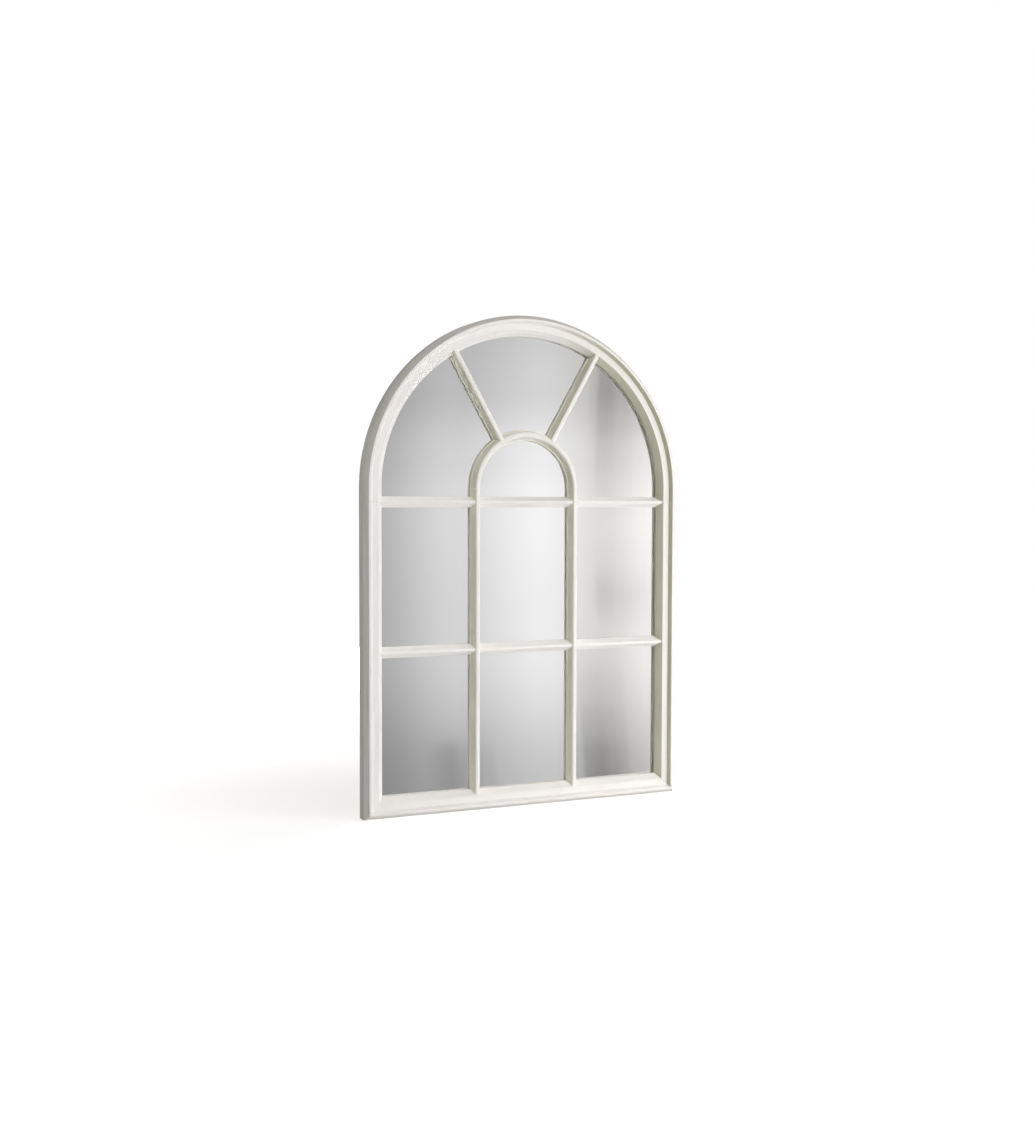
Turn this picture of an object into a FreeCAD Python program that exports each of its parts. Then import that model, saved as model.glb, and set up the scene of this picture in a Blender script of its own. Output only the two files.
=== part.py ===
"""Arched window wall mirror: moulded frame, glazing bars, glass, backing and hanging hardware.

X runs to the right, Y towards the wall, Z up. The origin is the middle of the bottom edge, in the plane
of the frame's back, so the front of the mirror lies at negative Y.
"""
import FreeCAD, Part
import Sketcher
import math
import os

document = FreeCAD.newDocument("arched_window_mirror")
sheet = document.addObject("Spreadsheet::Sheet", "Dims")

# Driving dimensions in millimetres, angles in degrees
DIMENSIONS = [
    ("frame_width", 700, "outer width"),
    ("spring_height", 650, "height of the arch's centre above the bottom edge"),
    ("face_width", 41, "frame member, from its outer side to its inner lip"),
    ("frame_depth", 36.5, "back of the frame to the top of its raised edge"),
    ("side_depth", 24, "flat outer side, from the back to the slope of the raised edge"),
    ("ridge_inset", 7.8, "top of the raised edge, from the frame's outer side"),
    ("ridge_width", 4.7, "top of the raised edge"),
    ("ridge_fall", 5, "inner slope of the raised edge, across the face"),
    ("face_drop", 8, "flat band of the frame, below the raised edge"),
    ("band_width", 13, "flat band, from the raised edge to the sloped reveal"),
    ("lip_height", 7, "square lip of the frame, above the glass"),
    ("arris_radius", 1.5, "softened edges of the frame"),
    ("shoulder_radius", 3, "softened edge between the outer side and its slope"),
    ("glass_thickness", 3, "mirror glass"),
    ("glass_cover", 8, "width of the rebate that takes the glass"),
    ("glass_clearance", 1, "room round the edge of the glass"),
    ("backing_thickness", 6, "backing board"),
    ("backing_cover", 18, "width of the rebate that takes the backing board"),
    ("backing_clearance", 0.5, "room round the edge of the backing board"),
    ("fan_radius", 109.5, "centre line of the small arch and of the uprights"),
    ("upper_bar_drop", 27, "centre line of the upper cross bars, below the arch's centre"),
    ("lower_bar_drop", 297, "centre line of the lower cross bars, below that of the upper ones"),
    ("ray_angle", 30, "slant of the fan's rays from the vertical"),
    ("bar_width", 22, "glazing bar at the glass"),
    ("bar_top", 10, "glazing bar at its crest"),
    ("bar_lip", 4, "square foot of a glazing bar"),
    ("bar_step", 2.2, "step from the foot to the sloped side of a glazing bar"),
    ("bar_drop", 0.5, "crest of the glazing bars, below the frame's flat band"),
    ("bar_arris", 5, "rounded crest edges of the glazing bars"),
    ("peak_top", 4, "cross bar at its crest"),
    ("peak_lip", 1.5, "square foot of a cross bar"),
    ("peak_drop", 1.5, "crest of the cross bars, below that of the other bars"),
    ("peak_arris", 2.5, "rounded crest edges of the cross bars"),
    ("dowel_radius", 4, "dowels of the head"),
    ("dowel_length", 36, "dowels of the head"),
    ("corner_dowel_radius", 3, "dowels of the bottom mitres"),
    ("corner_dowel_length", 18, "dowels of the bottom mitres"),
    ("dowel_clearance", 0.05, "room round a dowel"),
    ("dowel_end_room", 0.5, "glue room past each end of a dowel"),
    ("dowel_depth", 15, "dowel centre lines, from the back of the frame"),
    ("outer_dowel_line", 11, "outer dowels, from the frame's outer side"),
    ("inner_dowel_line", 27, "inner dowels, from the frame's outer side"),
    ("screw_margin", 4.5, "backing screws, from the edge of the backing board"),
    ("screw_radius", 1.5, "shank of a backing screw"),
    ("screw_head_radius", 3, "countersunk head of a backing screw"),
    ("screw_length", 14, "backing screw"),
    ("screw_clearance", 0.05, "room round a screw"),
    ("hanger_line", 13, "hanger straps, from the frame's outer side"),
    ("hanger_drop", 29, "swing axis of the hanging rings, below the top of the stiles"),
    ("strap_width", 14, "hanger strap"),
    ("strap_length", 34, "hanger strap, below the swing axis"),
    ("strap_thickness", 1.2, "hanger strap"),
    ("strap_corner", 4, "rounded lower corners of a hanger strap"),
    ("wire_radius", 1.25, "wire of the hanging rings"),
    ("wire_clearance", 0.1, "room round the wire in its knuckle"),
    ("wire_room", 0.35, "room between a hanging ring and the flat of its strap"),
    ("ring_half_width", 10.5, "hanging ring, centre line of the wire"),
    ("ring_bend", 2.5, "small bends of a hanging ring"),
    ("ring_side", 3, "straight sides of a hanging ring"),
    ("strap_screw_radius", 1.75, "shank of a strap screw"),
    ("strap_screw_head_radius", 3.4, "countersunk head of a strap screw"),
    ("strap_screw_length", 16, "strap screw"),
    ("first_strap_screw", 12, "upper strap screw, below the swing axis"),
    ("second_strap_screw", 25, "lower strap screw, below the swing axis"),
    ("bumper_radius", 6, "wall bumper"),
    ("bumper_thickness", 5.5, "wall bumper"),
    ("bumper_height", 60, "wall bumpers, above the bottom edge"),
]
for row, (alias, number, note) in enumerate(DIMENSIONS, start=1):
    sheet.set(f"A{row}", note)
    sheet.set(f"B{row}", str(number))
    sheet.setAlias(f"B{row}", alias)
document.recompute()

# Sizes that follow from the driving dimensions, as expressions
HALF_WIDTH = "Dims.frame_width / 2"
BAND_DEPTH = "(Dims.frame_depth - Dims.face_drop)"
RIDGE_END = "(Dims.ridge_inset + Dims.ridge_width)"
VALLEY = f"({RIDGE_END} + Dims.ridge_fall)"
GLASS_FRONT = "(Dims.backing_thickness + Dims.glass_thickness)"
BOARD_INSET = "(Dims.face_width - Dims.backing_cover + Dims.backing_clearance)"
BAR_CREST = f"({BAND_DEPTH} - Dims.bar_drop)"
PEAK_CREST = f"({BAR_CREST} - Dims.peak_drop)"
BAR_BURIED = f"({VALLEY} + Dims.band_width / 2)"
CROWN_HEIGHT = f"(Dims.spring_height + {HALF_WIDTH})"
STILE_TOP = "(Dims.spring_height - Dims.upper_bar_drop)"
BAR_HEIGHT = {"upper": STILE_TOP, "lower": f"({STILE_TOP} - Dims.lower_bar_drop)"}
HANGER_HEIGHT = f"({STILE_TOP} - Dims.hanger_drop)"
KNUCKLE_BORE = "(Dims.wire_radius + Dims.wire_clearance)"
KNUCKLE_RADIUS = f"({KNUCKLE_BORE} + Dims.strap_thickness)"
RING_OFFSET = "(Dims.strap_thickness + Dims.wire_room + Dims.wire_radius)"
LEFT, RIGHT = -1, 1


def size(expression):
    """The value of an expression, in millimetres or degrees."""
    return float(sheet.evalExpression(expression))


def bind(thing, **properties):
    """Tie properties of an object to expressions; a double underscore stands for a dot."""
    for name, expression in properties.items():
        thing.setExpression(name.replace("__", "."), expression)


def corner(x, y, radius=None, arc_centre=None):
    """One corner of an outline: its place, a radius that softens it, or the centre of an arc to the next."""
    return {"x": x, "y": y, "radius": radius, "arc_centre": arc_centre}


def plane_of(body, role):
    """One of a body's own base planes."""
    return next(plane for plane in body.Origin.OriginFeatures if plane.Role == role)


def new_body(name):
    return document.addObject("PartDesign::Body", name)


def new_sketch(body, name, role, offset=None):
    """An empty sketch on a base plane of the body, moved along the plane's normal by an expression."""
    sketch = body.newObject("Sketcher::SketchObject", name)
    sketch.AttachmentSupport = [(plane_of(body, role), "")]
    sketch.MapMode = "FlatFace"
    if offset:
        bind(sketch, AttachmentOffset__Base__z=offset)
    return sketch


def pin_point(sketch, shape, point, x=None, y=None):
    """Hold a point of a sketch at expressions measured from the sketch's origin."""
    for kind, expression in (("DistanceX", x), ("DistanceY", y)):
        if expression is not None:
            constraint = Sketcher.Constraint(kind, -1, 1, shape, point, size(expression))
            number = sketch.addConstraint(constraint)
            sketch.setExpression(f"Constraints[{number}]", expression)


def arc_between(start, end, centre):
    """An arc of under half a turn about a centre, and whether it runs backwards from start to end."""
    first = start - centre
    last = end - centre
    backwards = first.cross(last).z < 0
    if backwards:
        first, last = last, first
    circle = Part.Circle(centre, FreeCAD.Vector(0, 0, 1), first.Length)
    arc = Part.ArcOfCircle(circle, math.atan2(first.y, first.x), math.atan2(last.y, last.x))
    return arc, backwards


def softened(before, at, after, radius):
    """Start, end and centre of the arc that rounds the corner between two straight edges."""
    towards_before = (before - at).normalize()
    towards_after = (after - at).normalize()
    half_angle = towards_before.getAngle(towards_after) / 2
    run = radius / math.tan(half_angle)
    bisector = (towards_before + towards_after).normalize()
    centre = at + bisector * (radius / math.sin(half_angle))
    return at + towards_before * run, at + towards_after * run, centre


def draw_outline(sketch, corners):
    """Draw a closed outline of lines and arcs, held at every corner by expressions."""
    places = [FreeCAD.Vector(size(c["x"]), size(c["y"]), 0) for c in corners]
    count = len(corners)
    edge_starts = list(places)
    edge_ends = places[1:] + places[:1]
    rounds = {}
    for i, c in enumerate(corners):
        if c["radius"]:
            after = places[(i + 1) % count]
            start, end, centre = softened(places[i - 1], places[i], after, size(c["radius"]))
            edge_ends[i - 1] = start
            edge_starts[i] = end
            rounds[i] = (start, end, centre)
    edges = []
    for i, c in enumerate(corners):
        if c["arc_centre"]:
            centre = FreeCAD.Vector(size(c["arc_centre"][0]), size(c["arc_centre"][1]), 0)
            shape, backwards = arc_between(edge_starts[i], edge_ends[i], centre)
        else:
            shape, backwards = Part.LineSegment(edge_starts[i], edge_ends[i]), False
        number = sketch.addGeometry(shape, False)
        edges.append((number, 2, 1) if backwards else (number, 1, 2))
    for i, c in enumerate(corners):
        number, start_point, _ = edges[i]
        last_number, _, last_point = edges[i - 1]
        if i in rounds:
            start, end, centre = rounds[i]
            shape, backwards = arc_between(start, end, centre)
            arc = sketch.addGeometry(shape, False)
            arc_start, arc_end = (2, 1) if backwards else (1, 2)
            apex = sketch.addGeometry(Part.Point(places[i]), True)
            sketch.addConstraint(Sketcher.Constraint("Tangent", last_number, last_point, arc, arc_start))
            sketch.addConstraint(Sketcher.Constraint("Tangent", arc, arc_end, number, start_point))
            sketch.addConstraint(Sketcher.Constraint("PointOnObject", apex, 1, last_number))
            sketch.addConstraint(Sketcher.Constraint("PointOnObject", apex, 1, number))
            pin_point(sketch, apex, 1, c["x"], c["y"])
            radius = sketch.addConstraint(Sketcher.Constraint("Radius", arc, size(c["radius"])))
            sketch.setExpression(f"Constraints[{radius}]", c["radius"])
        else:
            meeting = Sketcher.Constraint("Coincident", last_number, last_point, number, start_point)
            sketch.addConstraint(meeting)
            pin_point(sketch, number, start_point, c["x"], c["y"])
        if c["arc_centre"]:
            pin_point(sketch, number, 3, x=c["arc_centre"][0])


def draw_circle(sketch, x, y, radius):
    place = FreeCAD.Vector(size(x), size(y), 0)
    circle = sketch.addGeometry(Part.Circle(place, FreeCAD.Vector(0, 0, 1), size(radius)), False)
    pin_point(sketch, circle, 3, x, y)
    number = sketch.addConstraint(Sketcher.Constraint("Radius", circle, size(radius)))
    sketch.setExpression(f"Constraints[{number}]", radius)


def pad(body, sketch, length, reverse=False, both_ways=False):
    feature = body.newObject("PartDesign::Pad", sketch.Name + "_pad")
    feature.Profile = sketch
    feature.Reversed = reverse
    feature.Midplane = both_ways
    bind(feature, Length=length)
    return feature


def pocket(body, sketch):
    """Cut a sketch right through a body, to both sides of its plane."""
    feature = body.newObject("PartDesign::Pocket", sketch.Name + "_pocket")
    feature.Profile = sketch
    feature.Type = "ThroughAll"
    feature.Midplane = True
    return feature


def revolve(body, sketch, angle, reverse):
    """Turn a section about the upright axis of its own sketch, which is the arch's centre line."""
    feature = body.newObject("PartDesign::Revolution", sketch.Name + "_turn")
    feature.Profile = sketch
    feature.ReferenceAxis = (sketch, ["V_Axis"])
    feature.Angle = angle
    feature.Reversed = reverse
    return feature


def cylinder(name, radius, height, x, y, z, axis="Z", slant=0):
    """A round bar whose axis starts at x, y, z; slant turns an axis along Z about Y, in degrees."""
    rod = document.addObject("Part::Cylinder", name)
    turns = {
        "X": FreeCAD.Rotation(FreeCAD.Vector(0, 1, 0), 90),
        "Y": FreeCAD.Rotation(FreeCAD.Vector(1, 0, 0), 90),
        "Z": FreeCAD.Rotation(FreeCAD.Vector(0, 1, 0), slant),
    }
    rod.Placement = FreeCAD.Placement(FreeCAD.Vector(), turns[axis])
    bind(rod, Radius=radius, Height=height)
    bind(rod, Placement__Base__x=x, Placement__Base__y=y, Placement__Base__z=z)
    return rod


def cone_head(name, shank, head, x, y, z):
    """A countersunk head that narrows towards the front, from the plane at y."""
    head_shape = document.addObject("Part::Cone", name)
    forwards = FreeCAD.Rotation(FreeCAD.Vector(1, 0, 0), 90)
    head_shape.Placement = FreeCAD.Placement(FreeCAD.Vector(), forwards)
    bind(head_shape, Radius1=head, Radius2=shank, Height=f"{head} - {shank}")
    bind(head_shape, Placement__Base__x=x, Placement__Base__y=y, Placement__Base__z=z)
    return head_shape


def fuse(name, pieces):
    joined = document.addObject("Part::MultiFuse", name)
    joined.Shapes = pieces
    return joined


def group(name, pieces):
    """Separate solids that share one node."""
    together = document.addObject("Part::Compound", name)
    together.Links = pieces
    return together


def cut(name, base, tools):
    """The base with every tool taken out of it."""
    tool = tools[0]
    if len(tools) > 1:
        tool = group(name + "_cutters", tools)
    trimmed = document.addObject("Part::Cut", name)
    trimmed.Base = base
    trimmed.Tool = tool
    return trimmed


# Moulding of the frame

def across(side, inset):
    """X of a place that lies inset from the frame's outer side, on the left or the right."""
    return f"-({HALF_WIDTH}) + ({inset})" if side == LEFT else f"{HALF_WIDTH} - ({inset})"


def frame_section(place):
    """Section of the frame: side, raised edge, flat band, sloped reveal, lip and two rebates at the back."""
    glass_rebate = "(Dims.face_width - Dims.glass_cover)"
    backing_rebate = "(Dims.face_width - Dims.backing_cover)"
    lip_top = f"({GLASS_FRONT} + Dims.lip_height)"
    inner_band = f"({VALLEY} + Dims.band_width)"
    return [
        corner(*place("0", "0")),
        corner(*place("0", "Dims.side_depth"), radius="Dims.shoulder_radius"),
        corner(*place("Dims.ridge_inset", "Dims.frame_depth"), radius="Dims.arris_radius"),
        corner(*place(RIDGE_END, "Dims.frame_depth"), radius="Dims.arris_radius"),
        corner(*place(VALLEY, BAND_DEPTH)),
        corner(*place(inner_band, BAND_DEPTH), radius="Dims.arris_radius"),
        corner(*place("Dims.face_width", lip_top), radius="Dims.arris_radius"),
        corner(*place("Dims.face_width", GLASS_FRONT)),
        corner(*place(glass_rebate, GLASS_FRONT)),
        corner(*place(glass_rebate, "Dims.backing_thickness")),
        corner(*place(backing_rebate, "Dims.backing_thickness")),
        corner(*place(backing_rebate, "0")),
    ]


def upright_place(side):
    """Puts a section on a level sketch: inset along X from one side, depth towards the front."""
    return lambda inset, depth: (across(side, inset), f"-({depth})")


def level_place(inset, depth):
    """Puts a section on a sketch square to X: depth towards the front, inset upwards."""
    return f"-({depth})", inset


def mitre_sketch(body, name, side, keeps_rail):
    """Triangle on the waste side of a bottom mitre."""
    waste = [corner(across(side, "0"), "0"), corner(across(side, "Dims.face_width"), "Dims.face_width")]
    if keeps_rail:
        waste.append(corner(across(side, "0"), "Dims.face_width"))
    else:
        waste.append(corner(across(side, "Dims.face_width"), "0"))
    sketch = new_sketch(body, name, "XZ_Plane")
    draw_outline(sketch, waste)
    return sketch


def make_rail():
    body = new_body("rail_blank")
    section = new_sketch(body, "rail_section", "YZ_Plane")
    draw_outline(section, frame_section(level_place))
    pad(body, section, "Dims.frame_width", both_ways=True)
    for side, word in ((LEFT, "left"), (RIGHT, "right")):
        pocket(body, mitre_sketch(body, f"rail_mitre_{word}", side, keeps_rail=True))
    return body


def make_stile(side, word):
    body = new_body(f"{word}_stile_blank")
    section = new_sketch(body, f"{word}_stile_section", "XY_Plane")
    draw_outline(section, frame_section(upright_place(side)))
    pad(body, section, STILE_TOP)
    pocket(body, mitre_sketch(body, f"{word}_stile_mitre", side, keeps_rail=False))
    return body


def make_arch(side, word):
    """Half of the head: a quarter turn about the arch's centre, with a straight leg down to the stile."""
    body = new_body(f"arch_{word}_blank")
    section = new_sketch(body, f"arch_{word}_section", "XY_Plane", "Dims.spring_height")
    draw_outline(section, frame_section(upright_place(side)))
    pad(body, section, "Dims.upper_bar_drop", reverse=True)
    revolve(body, section, 90, reverse=side == RIGHT)
    return body


# Screws, dowels and their holes

RAIL_SCREW_SHARES = (-1 / 3, 0, 1 / 3)
STILE_SCREW_SHARES = (0.2, 0.5, 0.8)
ARCH_SCREW_TURNS = (15, 45, 75)


def backing_screw_places():
    """Where the backing screws go, by the frame member that each one bites into."""
    inset = f"({BOARD_INSET} + Dims.screw_margin)"
    turn_radius = f"({HALF_WIDTH} - {inset})"
    straight = f"({STILE_TOP} - Dims.face_width)"
    places = {"bottom_rail": [(f"{share} * Dims.frame_width", inset) for share in RAIL_SCREW_SHARES]}
    for side, word in ((LEFT, "left"), (RIGHT, "right")):
        places[f"{word}_stile"] = [
            (across(side, inset), f"Dims.face_width + {straight} * {share}") for share in STILE_SCREW_SHARES
        ]
        places[f"arch_{word}"] = [
            (f"{side} * {turn_radius} * cos({turn})", f"Dims.spring_height + {turn_radius} * sin({turn})")
            for turn in ARCH_SCREW_TURNS
        ]
    return places


def make_screw(name, shank, head, length, x, y, z):
    parts = [cylinder(name + "_shank", shank, length, x, y, z, axis="Y")]
    parts.append(cone_head(name + "_head", shank, head, x, y, z))
    return fuse(name, parts)


def make_screw_hole(name, shank, head, length, x, y, z):
    """The room that a screw needs: its own form and a clearance all round."""
    room = "Dims.screw_clearance"
    return make_screw(name, f"({shank} + {room})", f"({head} + {room})", f"{length} + {room}", x, y, z)


def dowel_pair(name, member_places, radius, length, axis, slant=0):
    """Two dowels, and the holes that take them, on lines that start at the given places."""
    dowels = []
    holes = []
    for number, (x, z, reach_x, reach_z) in enumerate(member_places, start=1):
        depth = "-Dims.dowel_depth"
        start = (f"({x}) - ({reach_x}) * {length} / 2", depth, f"({z}) - ({reach_z}) * {length} / 2")
        dowels.append(cylinder(f"{name}_{number}", radius, length, *start, axis=axis, slant=slant))
        longer = f"({length} + 2 * Dims.dowel_end_room)"
        hole_start = (f"({x}) - ({reach_x}) * {longer} / 2", depth, f"({z}) - ({reach_z}) * {longer} / 2")
        wider = f"({radius} + Dims.dowel_clearance)"
        holes.append(cylinder(f"{name}_hole_{number}", wider, longer, *hole_start, axis=axis, slant=slant))
    return dowels, holes


DOWEL_LINES = ("Dims.outer_dowel_line", "Dims.inner_dowel_line")
HEAD_DOWEL = ("Dims.dowel_radius", "Dims.dowel_length")
MITRE_SLANT = 45
diagonal = math.sin(math.radians(MITRE_SLANT))
corner_dowels = []
head_dowels = []
holes_in = {"bottom_rail": [], "left_stile": [], "right_stile": [], "arch_left": [], "arch_right": []}
for side, word in ((LEFT, "left"), (RIGHT, "right")):
    places = [(across(side, line), line, side * diagonal, diagonal) for line in DOWEL_LINES]
    dowels, holes = dowel_pair(
        f"{word}_corner_dowel",
        places,
        "Dims.corner_dowel_radius",
        "Dims.corner_dowel_length",
        axis="Z",
        slant=side * MITRE_SLANT,
    )
    corner_dowels += dowels
    holes_in["bottom_rail"] += holes
    holes_in[f"{word}_stile"] += holes
    places = [(across(side, line), STILE_TOP, 0, 1) for line in DOWEL_LINES]
    dowels, holes = dowel_pair(f"{word}_head_dowel", places, *HEAD_DOWEL, axis="Z")
    head_dowels += dowels
    holes_in[f"{word}_stile"] += holes
    holes_in[f"arch_{word}"] += holes
places = [("0", f"{CROWN_HEIGHT} - {line}", 1, 0) for line in DOWEL_LINES]
crown_dowels, holes = dowel_pair("crown_dowel", places, *HEAD_DOWEL, axis="X")
holes_in["arch_left"] += holes
holes_in["arch_right"] += holes

backing_screws = []
backing_holes = []
for member, places in backing_screw_places().items():
    for number, (x, z) in enumerate(places, start=1):
        sizes = ("Dims.screw_radius", "Dims.screw_head_radius", "Dims.screw_length", x, "0", z)
        backing_screws.append(make_screw(f"backing_screw_{member}_{number}", *sizes))
        hole = make_screw_hole(f"backing_screw_hole_{member}_{number}", *sizes)
        backing_holes.append(hole)
        holes_in[member].append(hole)


# Hanging hardware

def hanger_x(side):
    return across(side, "Dims.hanger_line")


def make_strap(side, word):
    """A flat strap, folded at its top into a knuckle that carries the ring's straight bar."""
    body = new_body(f"hanger_strap_{word}_blank")
    middle = hanger_x(side)
    left_edge = f"{middle} - Dims.strap_width / 2"
    right_edge = f"{middle} + Dims.strap_width / 2"
    foot = f"{HANGER_HEIGHT} - Dims.strap_length"
    flat = new_sketch(body, f"strap_{word}_flat", "XZ_Plane")
    draw_outline(flat, [
        corner(left_edge, HANGER_HEIGHT),
        corner(left_edge, foot, radius="Dims.strap_corner"),
        corner(right_edge, foot, radius="Dims.strap_corner"),
        corner(right_edge, HANGER_HEIGHT),
    ])
    pad(body, flat, "Dims.strap_thickness", reverse=True)
    knuckle = new_sketch(body, f"strap_{word}_knuckle", "YZ_Plane", middle)
    draw_circle(knuckle, RING_OFFSET, HANGER_HEIGHT, KNUCKLE_RADIUS)
    pad(body, knuckle, "Dims.strap_width", both_ways=True)
    bore = new_sketch(body, f"strap_{word}_bore", "YZ_Plane", middle)
    draw_circle(bore, RING_OFFSET, HANGER_HEIGHT, KNUCKLE_BORE)
    pocket(body, bore)
    return body


def make_ring(side, word):
    """A D-shaped ring of round wire, hanging from its straight bar."""
    body = new_body(f"hanger_ring_{word}")
    middle = hanger_x(side)
    axis = HANGER_HEIGHT
    turn_height = f"({axis} - Dims.ring_bend - Dims.ring_side)"
    left_side = f"{middle} - Dims.ring_half_width"
    right_side = f"{middle} + Dims.ring_half_width"
    left_bend = f"{left_side} + Dims.ring_bend"
    right_bend = f"{right_side} - Dims.ring_bend"
    bend_height = f"{axis} - Dims.ring_bend"
    arc_middle = (middle, turn_height)
    path = new_sketch(body, f"ring_{word}_path", "XZ_Plane", f"-{RING_OFFSET}")
    draw_outline(path, [
        corner(middle, axis),
        corner(right_bend, axis, arc_centre=(right_bend, bend_height)),
        corner(right_side, bend_height),
        corner(right_side, turn_height, arc_centre=arc_middle),
        corner(middle, f"{turn_height} - Dims.ring_half_width", arc_centre=arc_middle),
        corner(left_side, turn_height),
        corner(left_side, bend_height, arc_centre=(left_bend, bend_height)),
        corner(left_bend, axis),
    ])
    wire = new_sketch(body, f"ring_{word}_wire", "YZ_Plane", middle)
    draw_circle(wire, RING_OFFSET, axis, "Dims.wire_radius")
    pipe = body.newObject("PartDesign::AdditivePipe", f"ring_{word}_pipe")
    pipe.Profile = wire
    pipe.Spine = path
    return body


strap_screws = []
strap_holes = {"left": [], "right": []}
for side, word in ((LEFT, "left"), (RIGHT, "right")):
    for number, drop in enumerate(("Dims.first_strap_screw", "Dims.second_strap_screw"), start=1):
        sizes = (
            "Dims.strap_screw_radius",
            "Dims.strap_screw_head_radius",
            "Dims.strap_screw_length",
            hanger_x(side),
            "Dims.strap_thickness",
            f"{HANGER_HEIGHT} - {drop}",
        )
        strap_screws.append(make_screw(f"strap_screw_{word}_{number}", *sizes))
        hole = make_screw_hole(f"strap_screw_hole_{word}_{number}", *sizes)
        strap_holes[word].append(hole)
        holes_in[f"{word}_stile"].append(hole)

# Frame members

nodes = {}
blanks = {"bottom_rail": make_rail()}
for side, word in ((LEFT, "left"), (RIGHT, "right")):
    blanks[f"{word}_stile"] = make_stile(side, word)
    blanks[f"arch_{word}"] = make_arch(side, word)
for member, blank in blanks.items():
    nodes[member] = cut(member, blank, holes_in[member])


# Glazing bars

def both_halves(place, right_half):
    """Corners of a bar's whole section, from its right half."""
    left_half = [(f"-{half}", depth, radius) for half, depth, radius in reversed(right_half)]
    return [corner(*place(half, depth), radius=radius) for half, depth, radius in right_half + left_half]


def bar_section(place):
    """Section of a glazing bar: square foot on the glass, a step, sloped sides and a rounded crest."""
    foot_top = f"({GLASS_FRONT} + Dims.bar_lip)"
    half_foot = "Dims.bar_width / 2"
    half_step = "(Dims.bar_width / 2 - Dims.bar_step)"
    half_top = "Dims.bar_top / 2"
    right_half = [
        (half_foot, GLASS_FRONT, None),
        (half_foot, foot_top, None),
        (half_step, foot_top, None),
        (half_top, BAR_CREST, "Dims.bar_arris"),
    ]
    return both_halves(place, right_half)


def peaked_section(place):
    """Section of a cross bar: a low square foot, and sloped sides that meet in a narrow rounded crest."""
    half_foot = "Dims.bar_width / 2"
    right_half = [
        (half_foot, GLASS_FRONT, None),
        (half_foot, f"({GLASS_FRONT} + Dims.peak_lip)", None),
        ("Dims.peak_top / 2", PEAK_CREST, "Dims.peak_arris"),
    ]
    return both_halves(place, right_half)


def make_upright(side, word):
    body = new_body(f"{word}_upright_blank")
    section = new_sketch(body, f"{word}_upright_section", "XY_Plane", BAR_BURIED)
    centre_line = f"{side} * Dims.fan_radius"
    draw_outline(section, bar_section(lambda half, depth: (f"{centre_line} + {half}", f"-({depth})")))
    pad(body, section, f"Dims.spring_height - {BAR_BURIED}")
    return body


def make_fan_arch():
    body = new_body("fan_arch_bar")
    section = new_sketch(body, "fan_arch_section", "XY_Plane", "Dims.spring_height")
    draw_outline(section, bar_section(lambda half, depth: (f"-Dims.fan_radius + {half}", f"-({depth})")))
    revolve(body, section, 180, reverse=False)
    return body


def make_ray(side, word):
    """A straight bar along its own Z, turned about the arch's centre by the ray's angle."""
    body = new_body(f"{word}_ray_blank")
    section = new_sketch(body, f"{word}_ray_section", "XY_Plane", "Dims.fan_radius")
    draw_outline(section, bar_section(lambda half, depth: (half, f"-({depth})")))
    pad(body, section, f"{HALF_WIDTH} - {BAR_BURIED} - Dims.fan_radius")
    body.Placement.Rotation = FreeCAD.Rotation(FreeCAD.Vector(0, side, 0), size("Dims.ray_angle"))
    bind(body, Placement__Base__z="Dims.spring_height", Placement__Rotation__Angle="Dims.ray_angle")
    return body


def make_cross_bar(name, height, start, end):
    body = new_body(name + "_blank")
    section = new_sketch(body, name + "_section", "YZ_Plane", start)
    draw_outline(section, peaked_section(lambda half, depth: (f"-({depth})", f"{height} + {half}")))
    pad(body, section, f"({end}) - ({start})")
    return body


nodes["fan_arch_bar"] = make_fan_arch()
for side, word in ((LEFT, "left"), (RIGHT, "right")):
    upright = f"{word}_upright_bar"
    ray = f"{word}_ray_bar"
    nodes[upright] = cut(upright, make_upright(side, word), [blanks["bottom_rail"]])
    nodes[ray] = cut(ray, make_ray(side, word), [nodes["fan_arch_bar"], blanks[f"arch_{word}"]])

uprights = {"left": nodes["left_upright_bar"], "right": nodes["right_upright_bar"]}
for level in ("upper", "lower"):
    height = BAR_HEIGHT[level]
    bays = {
        "left": (across(LEFT, BAR_BURIED), "-Dims.fan_radius", [uprights["left"], blanks["left_stile"]]),
        "centre": ("-Dims.fan_radius", "Dims.fan_radius", [uprights["left"], uprights["right"]]),
        "right": ("Dims.fan_radius", across(RIGHT, BAR_BURIED), [uprights["right"], blanks["right_stile"]]),
    }
    for bay, (start, end, neighbours) in bays.items():
        if level == "upper" and bay != "centre":
            neighbours.append(blanks[f"arch_{bay}"])
        name = f"{level}_cross_bar_{bay}"
        nodes[name] = cut(name, make_cross_bar(name, height, start, end), neighbours)


# Glass and backing board

def arched_sheet(name, inset, front_offset, thickness):
    """A flat sheet with a half-round head, inset from the frame's outer side."""
    body = new_body(name)
    outline = new_sketch(body, name + "_outline", "XZ_Plane", front_offset)
    half = f"({HALF_WIDTH} - {inset})"
    centre = ("0", "Dims.spring_height")
    draw_outline(outline, [
        corner(f"-{half}", inset),
        corner(half, inset),
        corner(half, "Dims.spring_height", arc_centre=centre),
        corner("0", f"Dims.spring_height + {half}", arc_centre=centre),
        corner(f"-{half}", "Dims.spring_height"),
    ])
    pad(body, outline, thickness)
    return body


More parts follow.
